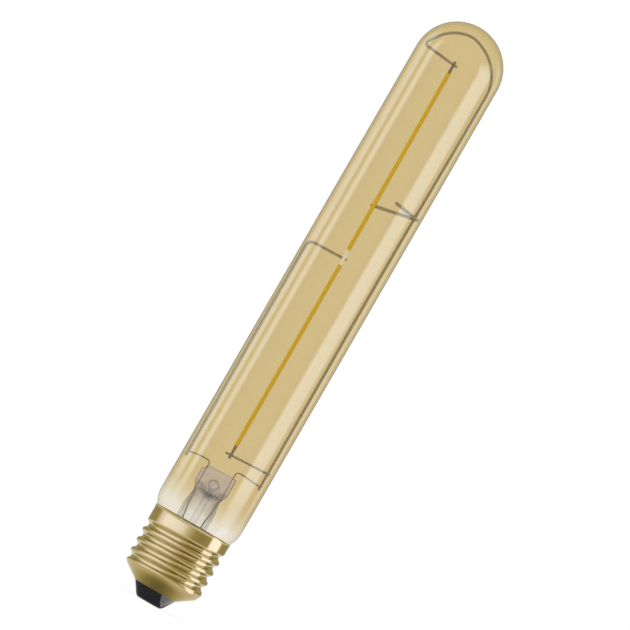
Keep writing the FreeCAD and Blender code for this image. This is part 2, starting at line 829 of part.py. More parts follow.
# Feed wire to the shell, soldered into the hollow behind the thread crest nearest the board
crestTurns = 0.5 + round((boardTopZ - threadLowZ) / threadPitch - 0.5)
feedZ = threadLowZ + threadPitch * (crestTurns + 0.5)
if feedZ - boardTopZ > threadPitch / 2:
    feedZ -= threadPitch
shellInsideR = threadCrestR - shellWall
shellFeed = wire(bentPath([
    (feedPadX, 0, boardLowZ - wireEnd), (feedPadX, 0, feedZ), (shellInsideR - feedR, 0, feedZ),
], [feedBend]), feedR)
shellSolder = Part.makeSphere(shellSolderR, V(shellInsideR - shellSolderR - seatGap, 0, feedZ))
save(shellFeed, "shell_feed_wire")
save(shellSolder.cut(shellFeed), "shell_solder")


# Chips on the underside of the board, each upside down with bent legs along both long sides
def chip(x, y, width, height, legCount, legPitch, standoff):
    body = box(width, chipDepth, height, x, y, boardLowZ - standoff - height)
    midZ = boardLowZ - standoff - height / 2
    legs = []
    for side in (-1, 1):
        for i in range(legCount):
            legX = x + (i - (legCount - 1) / 2) * legPitch
            footY = y + side * (chipDepth + legFoot) / 2
            riserY = y + side * (chipDepth + standoff) / 2
            foot = box(legWidth, legFoot, standoff, legX, footY, boardLowZ - standoff)
            riser = box(legWidth, standoff, boardLowZ - midZ, legX, riserY, midZ)
            legs.append(foot.fuse(riser))
    return body.fuse(legs)


def chipResistor(x, y):
    """A ceramic block with a metal cap on each end."""
    capX = (resistorLength - resistorCap) / 2
    capHeight = resistorHeight + resistorCapThick
    body = box(resistorLength - 2 * resistorCap, resistorWidth, resistorHeight, x, y, boardTopZ)
    caps = [box(resistorCap, resistorWidth, capHeight, x + side * capX, y, boardTopZ)
            for side in (-1, 1)]
    return body.fuse(caps)


# The driver chip clears the can, the rectifier and the sense resistor clear the fuse resistor
chipReach = chipDepth / 2 + legFoot
driverY = -(canR + driverGap + chipReach)
bridgeY = fuseR + bridgeGap + chipReach
senseY = solderR + senseGap + resistorWidth / 2
save(chip(0, driverY, driverWidth, driverHeight, driverLegs, driverLegPitch, driverStandoff),
     "driver_chip")
save(chip(bridgeX, bridgeY, bridgeWidth, bridgeHeight, bridgeLegs, bridgeLegPitch,
          bridgeStandoff), "bridge_rectifier")
save(chipResistor(senseIn - boardR, senseY), "sense_resistor")
save(chipResistor(bleedX, boardR - bleedIn), "bleed_resistor")


# Solder joints where wires pass the board
def joint(x, y, r, onTop, through):
    tip = r + holeGap
    if onTop:
        cone = Part.makeCone(solderR, tip, solderHeight, V(x, y, boardTopZ))
    else:
        cone = Part.makeCone(solderR, tip, solderHeight, V(x, y, boardLowZ), V(0, 0, -1))
    return cone.cut(through)


joints = [
    joint(*leadPads[0], outerLeadR, False, leftOuter),
    joint(*leadPads[1], outerLeadR, False, rightOuter),
    joint(feedPadX, 0, feedR, False, shellFeed),
    joint(fuseX, 0, fuseLeadR, True, fuseLead),
    joint(*pins[0], pinR, True, capacitorPins),
    joint(*pins[1], pinR, True, capacitorPins),
]
save(Part.makeCompound(joints), "board_solder")
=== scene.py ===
import math
import bpy
import numpy as np
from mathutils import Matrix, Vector


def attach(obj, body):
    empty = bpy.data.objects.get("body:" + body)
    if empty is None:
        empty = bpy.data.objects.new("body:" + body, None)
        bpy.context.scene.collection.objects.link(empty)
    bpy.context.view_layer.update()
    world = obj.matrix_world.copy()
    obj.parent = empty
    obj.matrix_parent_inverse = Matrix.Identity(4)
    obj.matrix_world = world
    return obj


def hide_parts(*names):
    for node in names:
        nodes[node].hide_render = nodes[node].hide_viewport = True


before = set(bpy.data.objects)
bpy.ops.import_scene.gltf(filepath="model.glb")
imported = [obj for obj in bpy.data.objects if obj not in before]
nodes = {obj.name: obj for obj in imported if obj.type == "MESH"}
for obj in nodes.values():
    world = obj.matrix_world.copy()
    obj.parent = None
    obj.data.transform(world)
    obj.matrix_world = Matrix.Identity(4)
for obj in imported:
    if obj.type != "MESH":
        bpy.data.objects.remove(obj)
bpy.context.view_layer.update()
print("frame loaded:", len(nodes), "nodes")


# A colour written as sRGB hex, made linear: a channel over 12.92 where it is dark, else raised to 2.4.
def toLinear(hexColour):
    values = [int(hexColour[i:i + 2], 16) / 255 for i in (1, 3, 5)]
    return tuple(v / 12.92 if v <= 0.04045 else ((v + 0.055) / 1.055) ** 2.4 for v in values) + (1.0,)


# Adds one node. Settings are its own properties or its sockets, links are socket and other output.
def addNode(tree, kind, settings=None, links=None):
    made = tree.nodes.new(kind)
    for name, value in (settings or {}).items():
        if isinstance(name, str) and hasattr(made, name):
            setattr(made, name, value)
        else:
            made.inputs[name].default_value = value
    for name, source in (links or {}).items():
        tree.links.new(source, made.inputs[name])
    return made


# An empty material with only its output.
def newMaterial(name):
    material = bpy.data.materials.new(name)
    material.use_nodes = True
    material.node_tree.nodes.clear()
    output = material.node_tree.nodes.new("ShaderNodeOutputMaterial")
    return material, material.node_tree, output


# Puts a material on CAD nodes.
def dress(material, *names):
    for name in names:
        for slot in nodes[name].material_slots:
            slot.material = material


# A mesh object at the origin, from an array of points in metres and a list of faces.
def makePiece(name, points, faces, material, attributes=None):
    mesh = bpy.data.meshes.new(name)
    mesh.from_pydata(points.tolist(), [], faces)
    for key, values in (attributes or {}).items():
        layer = mesh.attributes.new(key, "FLOAT", "POINT")
        layer.data.foreach_set("value", np.asarray(values, dtype=np.float32))
    mesh.polygons.foreach_set("use_smooth", np.ones(len(mesh.polygons), dtype=bool))
    mesh.materials.append(material)
    mesh.update()
    piece = bpy.data.objects.new(name, mesh)
    bpy.context.scene.collection.objects.link(piece)
    return piece


# Points on rings: (r cos a, r sin a, z) for every point of a profile and every angle.
def revolve(profile, around):
    angles = np.arange(around) * 2 * math.pi / around
    r, z = profile[:, :1], profile[:, 1:]
    grid = np.stack([r * np.cos(angles), r * np.sin(angles), np.repeat(z, around, axis=1)], axis=-1)
    return grid.reshape(-1, 3)


# Quads between neighbouring rings, counterclockwise from outside when the rings climb.
def ringFaces(rows, around, first=0):
    i, j = np.meshgrid(np.arange(rows - 1), np.arange(around), indexing="ij")
    k = (j + 1) % around
    quads = np.stack([i * around + j, i * around + k, (i + 1) * around + k, (i + 1) * around + j], axis=-1)
    return quads.reshape(-1, 4) + first


# Glass as light itself passes it: shadow and diffuse rays go through clear, so what stands inside is
# lit as in the open, and only the eye meets the tint.
def letLightIn(tree, shader):
    path = addNode(tree, "ShaderNodeLightPath")
    light = addNode(tree, "ShaderNodeMath", {"operation": "MAXIMUM"},
                    {0: path.outputs["Is Shadow Ray"], 1: path.outputs["Is Diffuse Ray"]})
    clearWay = addNode(tree, "ShaderNodeBsdfTransparent")
    mixed = addNode(tree, "ShaderNodeMixShader", {},
                    {0: light.outputs[0], 1: shader, 2: clearWay.outputs[0]})
    return mixed.outputs[0]


# The lamp's glass: sizes in millimetres, and in metres where the coat fades and how deep its streaks go.
envelope = {
    "tubeR": 14.5, "wall": 0.55, "top": 207.4,
    "neckStart": 33.5, "neckBend": 10.3, "neckR": 11.2, "neckEnd": 20.8,
    "around": 192, "tubeRows": 30, "domeRows": 36, "bendRows": 14, "neckRows": 5,
    "tint": "#f5eedc", "tintEdge": "#efe4c6", "tintOutline": "#7b704c",
    "clear": "#faf8f3", "clearEdge": "#f2efe6", "clearOutline": "#b9b4a4",
    "fadeLow": 0.0295, "fadeHigh": 0.0403, "streakMm": 5.0, "streakLongMm": 60.0, "streakDepth": 0.005,
    "edgePower": 3.0, "outlinePower": 6.0,
    "shine": 0.13, "bareShine": 0.5, "roughness": 0.03,
}


# Radius and height along the glass from the neck's edge to the dome's top, inset by a wall: straight
# neck, an arc out, an arc back, straight tube, and a quarter circle.
def wallProfile(inset):
    e = envelope
    turn = math.acos(1 - (e["tubeR"] - e["neckR"]) / (2 * e["neckBend"]))
    neckLow = e["neckStart"] - 2 * e["neckBend"] * math.sin(turn)
    domeZ = e["top"] - e["tubeR"]
    neck = np.column_stack([np.full(e["neckRows"], e["neckR"] - inset),
                            np.linspace(e["neckEnd"], neckLow, e["neckRows"])])
    out = np.linspace(0, turn, e["bendRows"])
    waist = np.column_stack([e["neckR"] + e["neckBend"] - (e["neckBend"] + inset) * np.cos(out),
                             neckLow + (e["neckBend"] + inset) * np.sin(out)])
    back = np.linspace(turn, 0, e["bendRows"])
    shoulder = np.column_stack([e["tubeR"] - e["neckBend"] + (e["neckBend"] - inset) * np.cos(back),
                                e["neckStart"] - (e["neckBend"] - inset) * np.sin(back)])
    tube = np.column_stack([np.full(e["tubeRows"], e["tubeR"] - inset),
                            np.linspace(e["neckStart"], domeZ, e["tubeRows"])])
    over = np.linspace(0, math.pi / 2, e["domeRows"])
    dome = np.column_stack([(e["tubeR"] - inset) * np.cos(over), domeZ + (e["tubeR"] - inset) * np.sin(over)])
    return np.vstack([neck, waist[1:], shoulder[1:], tube[1:], dome[1:-1]])


# Outer and inner skin of rings, joined by a ring of quads at the neck's edge and closed by a fan of
# triangles at each pole. The attribute outerSkin is 1 on the outer skin.
def makeEnvelope(material):
    n = envelope["around"]
    outer, inner = wallProfile(0), wallProfile(envelope["wall"])
    skin = len(outer) * n
    poles = [[0, 0, envelope["top"]], [0, 0, envelope["top"] - envelope["wall"]]]
    points = np.vstack([revolve(outer, n), revolve(inner, n), poles]) * 0.001
    j = np.arange(n)
    k = (j + 1) % n
    last = skin - n
    faces = np.vstack([ringFaces(len(outer), n), ringFaces(len(inner), n, skin)[:, ::-1],
                       np.column_stack([j, skin + j, skin + k, k])]).tolist()
    faces += np.column_stack([last + j, last + k, np.full(n, 2 * skin)]).tolist()
    faces += np.column_stack([skin + last + k, skin + last + j, np.full(n, 2 * skin + 1)]).tolist()
    onOuter = np.concatenate([np.ones(skin), np.zeros(skin), [1, 0]])
    return makePiece("glassEnvelope", points, faces, material, {"outerSkin": onOuter})


# Amber lamp glass, soda-lime drawn to a tube and closed in a flame: very smooth, so it mirrors the
# lights in sharp bands. Its amber coat looks deeper where the eye meets it on edge, and it was left
# off above the cap, where it ends in soft streaks and the bare glass shines less. Only the front of the
# outer skin has the gloss, so that no light is mirrored inside the bulb.
def amberLampGlass():
    e = envelope
    material, tree, output = newMaterial("amberLampGlass")
    coords = addNode(tree, "ShaderNodeTexCoord")
    place = addNode(tree, "ShaderNodeSeparateXYZ", {}, {0: coords.outputs["Object"]})
    along = addNode(tree, "ShaderNodeMapping",
                    {"Scale": (1000 / e["streakMm"], 1000 / e["streakMm"], 1000 / e["streakLongMm"])},
                    {"Vector": coords.outputs["Object"]})
    streak = addNode(tree, "ShaderNodeTexNoise", {"Scale": 1.0, "Detail": 2.0}, {"Vector": along.outputs[0]})
    shift = addNode(tree, "ShaderNodeMapRange", {"To Min": -e["streakDepth"], "To Max": e["streakDepth"]},
                    {"Value": streak.outputs[0]})
    height = addNode(tree, "ShaderNodeMath", {"operation": "ADD"},
                     {0: place.outputs["Z"], 1: shift.outputs[0]})
    coat = addNode(tree, "ShaderNodeMapRange",
                   {"From Min": e["fadeLow"], "From Max": e["fadeHigh"], "interpolation_type": "SMOOTHSTEP"},
                   {"Value": height.outputs[0]})
    facing = addNode(tree, "ShaderNodeLayerWeight", {"Blend": 0.5})
    skin = addNode(tree, "ShaderNodeAttribute", {"attribute_name": "outerSkin"})
    edge = addNode(tree, "ShaderNodeMath", {"operation": "POWER", 1: e["edgePower"]},
                   {0: facing.outputs["Facing"]})
    thin = addNode(tree, "ShaderNodeMath", {"operation": "POWER", 1: e["outlinePower"]},
                   {0: facing.outputs["Facing"]})
    rim = addNode(tree, "ShaderNodeMath", {"operation": "MULTIPLY"},
                  {0: thin.outputs[0], 1: skin.outputs["Fac"]})
    side = addNode(tree, "ShaderNodeMath", {"operation": "MULTIPLY"},
                   {0: edge.outputs[0], 1: skin.outputs["Fac"]})
    face = addNode(tree, "ShaderNodeMix",
                   {"data_type": "RGBA", 6: toLinear(e["clear"]), 7: toLinear(e["tint"])},
                   {0: coat.outputs[0]})
    slant = addNode(tree, "ShaderNodeMix",
                    {"data_type": "RGBA", 6: toLinear(e["clearEdge"]), 7: toLinear(e["tintEdge"])},
                    {0: coat.outputs[0]})
    outline = addNode(tree, "ShaderNodeMix",
                      {"data_type": "RGBA", 6: toLinear(e["clearOutline"]), 7: toLinear(e["tintOutline"])},
                      {0: coat.outputs[0]})
    wall = addNode(tree, "ShaderNodeMix", {"data_type": "RGBA"},
                   {0: side.outputs[0], 6: face.outputs[2], 7: slant.outputs[2]})
    tint = addNode(tree, "ShaderNodeMix", {"data_type": "RGBA"},
                   {0: rim.outputs[0], 6: wall.outputs[2], 7: outline.outputs[2]})
    through = addNode(tree, "ShaderNodeBsdfTransparent", {}, {"Color": tint.outputs[2]})
    gloss = addNode(tree, "ShaderNodeBsdfGlossy", {"Roughness": e["roughness"]})
    geometry = addNode(tree, "ShaderNodeNewGeometry")
    front = addNode(tree, "ShaderNodeMath", {"operation": "SUBTRACT", 0: e["shine"]},
                    {1: geometry.outputs["Backfacing"]})
    outside = addNode(tree, "ShaderNodeMath", {"operation": "MULTIPLY", "use_clamp": True},
                      {0: front.outputs[0], 1: skin.outputs["Fac"]})
    smooth = addNode(tree, "ShaderNodeMapRange", {"To Min": e["bareShine"], "To Max": 1.0},
                     {"Value": coat.outputs[0]})
    amount = addNode(tree, "ShaderNodeMath", {"operation": "MULTIPLY"},
                     {0: outside.outputs[0], 1: smooth.outputs[0]})
    wallShader = addNode(tree, "ShaderNodeMixShader", {},
                         {0: amount.outputs[0], 1: through.outputs[0], 2: gloss.outputs[0]})
    tree.links.new(letLightIn(tree, wallShader.outputs[0]), output.inputs["Surface"])
    return material


glassPiece = makeEnvelope(amberLampGlass())
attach(glassPiece, "root")
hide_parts("glass_envelope")
print("envelope made:", len(glassPiece.data.polygons), "faces")

# The screw cap's sheet. The rolling lines are wider apart than the real ones so that they show. The colour
# that the sheet takes only where it is mirrored is a painted reflection colour, which sets the shade in the
# thread's roots, and the bump's depth is in metres.
capSheet = {
    "brass": "#cfbc8e", "shade": "#c6b07e", "paintedInReflection": "#bfaf80",
    "roughness": 0.07, "smoother": 0.03, "rougher": 0.05,
    "lineMm": 0.4, "lineLongMm": 50 / 3, "bump": 0.02, "bumpDeep": 0.0001,
}


# Rolled brass sheet under a thin lacquer: a warm mirror, a little soft, with faint lines round the cap.
# Where one turn of the thread mirrors the next, the brass is seen in a paler painted colour, a painted
# reflection that keeps the thread's roots from going brown.
def rolledBrass():
    c = capSheet
    material, tree, output = newMaterial("rolledBrass")
    coords = addNode(tree, "ShaderNodeTexCoord")
    lines = addNode(tree, "ShaderNodeMapping",
                    {"Scale": (1000 / c["lineLongMm"], 1000 / c["lineLongMm"], 1000 / c["lineMm"])},
                    {"Vector": coords.outputs["Object"]})
    grain = addNode(tree, "ShaderNodeTexNoise", {"Scale": 1.0, "Detail": 4.0}, {"Vector": lines.outputs[0]})
    colour = addNode(tree, "ShaderNodeMix",
                     {"data_type": "RGBA", 6: toLinear(c["brass"]), 7: toLinear(c["shade"])},
                     {0: grain.outputs[0]})
    # Painted reflection: where the brass is mirrored in itself, it takes a paler painted colour, which sets
    # the shade of the thread's roots.
    path = addNode(tree, "ShaderNodeLightPath")
    seen = addNode(tree, "ShaderNodeMix", {"data_type": "RGBA", 7: toLinear(c["paintedInReflection"])},
                   {0: path.outputs["Is Glossy Ray"], 6: colour.outputs[2]})
    rough = addNode(tree, "ShaderNodeMapRange",
                    {"To Min": c["roughness"] - c["smoother"], "To Max": c["roughness"] + c["rougher"]},
                    {"Value": grain.outputs[0]})
    bump = addNode(tree, "ShaderNodeBump", {"Strength": c["bump"], "Distance": c["bumpDeep"]},
                   {"Height": grain.outputs[0]})
    shader = addNode(tree, "ShaderNodeBsdfPrincipled", {"Metallic": 1.0},
                     {"Base Color": seen.outputs[2], "Roughness": rough.outputs[0],
                      "Normal": bump.outputs[0]})
    tree.links.new(shader.outputs[0], output.inputs["Surface"])
    return material


# How far the grain takes a surface's roughness down and up, and the smoothest it may get.
grained = {"smoother": 0.06, "rougher": 0.08, "least": 0.02}


# A surface with a fine noise of size grainMm: its colour goes from 1 - spread to 1 + spread times the
# given one, and its roughness goes down and up with it.
def grainedSurface(name, colour, roughness, metallic=0.0, grainMm=0.3, spread=0.12, extra=None):
    material, tree, output = newMaterial(name)
    coords = addNode(tree, "ShaderNodeTexCoord")
    noise = addNode(tree, "ShaderNodeTexNoise", {"Scale": 1000 / grainMm, "Detail": 3.0},
                    {"Vector": coords.outputs["Object"]})
    base = toLinear(colour)
    darker = tuple(c * (1 - spread) for c in base[:3]) + (1.0,)
    lighter = tuple(min(c * (1 + spread), 1) for c in base[:3]) + (1.0,)
    tone = addNode(tree, "ShaderNodeMix", {"data_type": "RGBA", 6: darker, 7: lighter},
                   {0: noise.outputs[0]})
    rough = addNode(tree, "ShaderNodeMapRange",
                    {"To Min": max(roughness - grained["smoother"], grained["least"]),
                     "To Max": roughness + grained["rougher"]}, {"Value": noise.outputs[0]})
    settings = {"Metallic": metallic}
    settings.update(extra or {})
    shader = addNode(tree, "ShaderNodeBsdfPrincipled", settings,
                     {"Base Color": tone.outputs[2], "Roughness": rough.outputs[0]})
    tree.links.new(shader.outputs[0], output.inputs["Surface"])
    return material


# The cap's other parts, as sRGB colours.
capParts = {"insulator": "#18191f", "contact": "#6a6b6e", "solder": "#a9a9a6", "cement": "#cdc4b0"}

dress(rolledBrass(), "cap_shell")
# Black insulating glass, pressed in a mould: nearly black, with a hard gloss.
dress(grainedSurface("blackInsulatorGlass", capParts["insulator"], roughness=0.08, extra={"IOR": 1.8}),
      "cap_insulator")
# Nickel-plated contact, pressed and a little worn: a dull grey metal.
dress(grainedSurface("contactMetal", capParts["contact"], roughness=0.35, metallic=1.0),
      "centre_contact")
# Tin solder, set from the melt: pale grey and softly shiny.
dress(grainedSurface("tinSolder", capParts["solder"], roughness=0.35, metallic=1.0, grainMm=0.8),
      "centre_solder", "shell_solder", "board_solder")
# Capping cement, marble flour baked in resin: matt, chalky and grainy.
dress(grainedSurface("cappingCement", capParts["cement"], roughness=0.85, grainMm=0.5, spread=0.2),
      "capping_cement")
print("cap dressed")

# The wires and the filaments' metal and coats, as sRGB colours.
wires = {"support": "#a49b88", "lead": "#8f897a", "endTab": "#8c877a", "middleTabPaintedHighlight": "#ffffff"}
filaments = {"coat": "#d9b400", "strip": "#e8e4d8", "emitter": "#b9d0e8"}

# Nickel-plated drawn wire, dulled by the heat of sealing: a plain grey with little mirror.
dress(grainedSurface("nickelPlatedWire", wires["support"], roughness=0.4, metallic=0.2),
      "left_support_wire", "right_frame_wire", "cross_wire", "anchor_wire")
# Copper-clad sealing wire, dark where the flame oxidised it.
dress(grainedSurface("sealingWire", wires["lead"], roughness=0.45, metallic=0.2),
      "left_inner_lead", "right_inner_lead", "left_outer_lead", "right_outer_lead")
# Stamped steel strip: the end tabs, grey like the wires they are welded to.
dress(grainedSurface("stampedTab", wires["endTab"], roughness=0.4, metallic=0.3),
      "upper_filament_head_tab", "lower_filament_foot_tab")
# The two middle tabs are the same stamped strip, painted white: a painted highlight where they catch the
# light.
dress(grainedSurface("tabPaintedHighlight", wires["middleTabPaintedHighlight"], roughness=0.35, metallic=0.1),
      "upper_filament_foot_tab", "lower_filament_head_tab")
# Silicone filled with yellow phosphor: a deep yellow, rubbery and half matt.
dress(grainedSurface("phosphorSilicone", filaments["coat"], roughness=0.6,
                     extra={"Specular IOR Level": 0.15}),
      "upper_filament_coat", "lower_filament_coat")
# Fired white ceramic strip: chalk white and matt.
dress(grainedSurface("filamentCeramic", filaments["strip"], roughness=0.6),
      "upper_filament_strip", "lower_filament_strip")
# Sapphire dies: a cold pale blue with a polish.
dress(grainedSurface("emitterDie", filaments["emitter"], roughness=0.2),
      "upper_filament_emitters", "lower_filament_emitters")
print("wires and filaments dressed")

# The stem's glass. Heights and the painted shade's sizes are in metres, and the shares say how much of what
# is behind the milk hides.
stemGlass = {
    "milkLow": "#f4f3f2", "milkHigh": "#c2c6ff", "lowZ": 0.031, "highZ": 0.041,
    "shareLow": 0.07, "shareHigh": 0.45, "tubeShare": 0.04,
    "edge": "#35322b", "through": "#fefeff", "edgeThrough": "#57534a",
    "edgePower": 1.9, "edgeLow": 0.3, "edgeBelow": 0.001,
    "rippleMm": 0.9, "rippleLongMm": 9.0, "rippleFrom": 0.3, "rippleFull": 0.7, "ripple": 0.3,
    "roughness": 0.2,
    "paintedShadeX": -0.0003, "paintedShadeZ": 0.0419, "paintedShadeR": 0.0031, "paintedShadeWide": 0.74, "paintedShadeWidth": 0.0021,
    "paintedShadeDeep": 0.35, "paintedShadeFrom": 0.0003, "paintedShadeFull": 0.0015,
}


# Stem glass, blown and then pinched hard between jaws while soft: full of fine ripples along its
# length, so it looks milky grey, clearer down the flare, with thin dark lines where it is seen on edge.
# The dark crescent under the bubble is painted shade, where the flare's roof bends the light away: the lower
# half of a ring, darkest at the ring's radius from its middle. The view goes straight through as a refraction
# of index 1, because a ray may meet only a few transparent skins. The milk is only where a ray enters.
def pressedStemGlass(name, shareLow, shareHigh):
    s = stemGlass
    material, tree, output = newMaterial(name)
    coords = addNode(tree, "ShaderNodeTexCoord")
    place = addNode(tree, "ShaderNodeSeparateXYZ", {}, {0: coords.outputs["Object"]})
    along = addNode(tree, "ShaderNodeMapping",
                    {"Scale": (1000 / s["rippleMm"], 1000 / s["rippleMm"], 1000 / s["rippleLongMm"])},
                    {"Vector": coords.outputs["Object"]})
    noise = addNode(tree, "ShaderNodeTexNoise", {"Scale": 1.0, "Detail": 3.0}, {"Vector": along.outputs[0]})
    ripple = addNode(tree, "ShaderNodeMapRange",
                     {"From Min": s["rippleFrom"], "From Max": s["rippleFull"],
                      "To Min": 1 - s["ripple"], "To Max": 1.0}, {"Value": noise.outputs[0]})
    high = addNode(tree, "ShaderNodeMapRange", {"From Min": s["lowZ"], "From Max": s["highZ"]},
                   {"Value": place.outputs["Z"]})
    milk = addNode(tree, "ShaderNodeMix",
                   {"data_type": "RGBA", 6: toLinear(s["milkLow"]), 7: toLinear(s["milkHigh"])},
                   {0: high.outputs[0]})
    # Painted shade: a dark crescent under the bubble, the lower half of a ring, stands in for light that the
    # flare's roof bends away.
    centred = addNode(tree, "ShaderNodeVectorMath", {"operation": "SUBTRACT", 1: (s["paintedShadeX"], 0, s["paintedShadeZ"])},
                      {0: coords.outputs["Object"]})
    across = addNode(tree, "ShaderNodeVectorMath", {"operation": "MULTIPLY", 1: (s["paintedShadeWide"], 0, 1)},
                     {0: centred.outputs[0]})
    reach = addNode(tree, "ShaderNodeVectorMath", {"operation": "LENGTH"}, {0: across.outputs[0]})
    offRing = addNode(tree, "ShaderNodeMath", {"operation": "SUBTRACT", 1: s["paintedShadeR"]},
                      {0: reach.outputs["Value"]})
    near = addNode(tree, "ShaderNodeMath", {"operation": "ABSOLUTE"}, {0: offRing.outputs[0]})
    ring = addNode(tree, "ShaderNodeMapRange",
                   {"From Max": s["paintedShadeWidth"], "To Min": s["paintedShadeDeep"], "To Max": 0.0,
                    "interpolation_type": "SMOOTHSTEP"}, {"Value": near.outputs[0]})
    below = addNode(tree, "ShaderNodeMapRange",
                    {"From Min": s["paintedShadeZ"] - s["paintedShadeFrom"], "From Max": s["paintedShadeZ"] - s["paintedShadeFull"]},
                    {"Value": place.outputs["Z"]})
    paintedShade = addNode(tree, "ShaderNodeMath", {"operation": "MULTIPLY"},
                   {0: ring.outputs[0], 1: below.outputs[0]})
    rippled = addNode(tree, "ShaderNodeVectorMath", {"operation": "SCALE"},
                      {0: milk.outputs[2], "Scale": ripple.outputs[0]})
    facing = addNode(tree, "ShaderNodeLayerWeight", {"Blend": 0.5})
    edge = addNode(tree, "ShaderNodeMath", {"operation": "POWER", 1: s["edgePower"]},
                   {0: facing.outputs["Facing"]})
    aboveRim = addNode(tree, "ShaderNodeMapRange",
                       {"From Min": s["lowZ"] - s["edgeBelow"], "From Max": s["highZ"],
                        "To Min": s["edgeLow"]}, {"Value": place.outputs["Z"]})
    rim = addNode(tree, "ShaderNodeMath", {"operation": "MULTIPLY"},
                  {0: edge.outputs[0], 1: aboveRim.outputs[0]})
    dark = addNode(tree, "ShaderNodeMath", {"operation": "MAXIMUM"}, {0: rim.outputs[0], 1: paintedShade.outputs[0]})
    colour = addNode(tree, "ShaderNodeMix", {"data_type": "RGBA", 7: toLinear(s["edge"])},
                     {0: dark.outputs[0], 6: rippled.outputs[0]})
    body = addNode(tree, "ShaderNodeBsdfPrincipled", {"Roughness": s["roughness"]},
                   {"Base Color": colour.outputs[2]})
    seen = addNode(tree, "ShaderNodeMix",
                   {"data_type": "RGBA", 6: toLinear(s["through"]), 7: toLinear(s["edgeThrough"])},
                   {0: dark.outputs[0]})
    through = addNode(tree, "ShaderNodeBsdfRefraction", {"Roughness": 0.0, "IOR": 1.0},
                      {"Color": seen.outputs[2]})
    share = addNode(tree, "ShaderNodeMapRange", {"To Min": shareLow, "To Max": shareHigh},
                    {"Value": high.outputs[0]})
    face = addNode(tree, "ShaderNodeNewGeometry")
    entering = addNode(tree, "ShaderNodeMath", {"operation": "SUBTRACT", 0: 1.0},
                       {1: face.outputs["Backfacing"]})
    milky = addNode(tree, "ShaderNodeMath", {"operation": "MULTIPLY"},
                    {0: share.outputs[0], 1: entering.outputs[0]})
    glass = addNode(tree, "ShaderNodeMixShader", {},
                    {0: milky.outputs[0], 1: through.outputs[0], 2: body.outputs[0]})
    tree.links.new(letLightIn(tree, glass.outputs[0]), output.inputs["Surface"])
    return material


dress(pressedStemGlass("pressedStemGlass", stemGlass["shareLow"], stemGlass["shareHigh"]), "glass_stem")
dress(pressedStemGlass("exhaustTubeGlass", stemGlass["tubeShare"], stemGlass["tubeShare"]), "exhaust_tube")
print("stem dressed")

# The driver's parts, as sRGB colours.
driverParts = {"board": "#2f6b46", "can": "#b8babc", "bung": "#1c1c1c", "wire": "#b5b5b2",
               "fuse": "#7d9a72", "chip": "#202022", "resistor": "#2a2a2c"}

# Glass-fibre laminate under green lacquer: the weave shows as a faint cloth grain.
dress(grainedSurface("boardLaminate", driverParts["board"], roughness=0.4, grainMm=0.6, spread=0.25),
      "driver_board")
# Rolled aluminium can: bright and softly brushed.
dress(grainedSurface("rolledCan", driverParts["can"], roughness=0.3, metallic=1.0), "capacitor_can")
# Moulded rubber bung: black and matt.
dress(grainedSurface("bungRubber", driverParts["bung"], roughness=0.7), "capacitor_bung")
# Tinned copper wire: silvery and smooth.
dress(grainedSurface("tinnedWire", driverParts["wire"], roughness=0.3, metallic=1.0),
      "capacitor_pins", "fuse_board_lead", "centre_feed_lead", "shell_feed_wire")
# Baked cement coat of a wire-wound resistor: grey green and rough.
dress(grainedSurface("fuseResistorCoat", driverParts["fuse"], roughness=0.5), "fuse_resistor")
# Moulded chip resin: charcoal with a fine sandy grain.
dress(grainedSurface("chipResin", driverParts["chip"], roughness=0.5), "driver_chip", "bridge_rectifier")
# Glazed top of a chip resistor: near black and smooth.
dress(grainedSurface("chipCeramic", driverParts["resistor"], roughness=0.4),
      "sense_resistor", "bleed_resistor")
print("driver dressed")

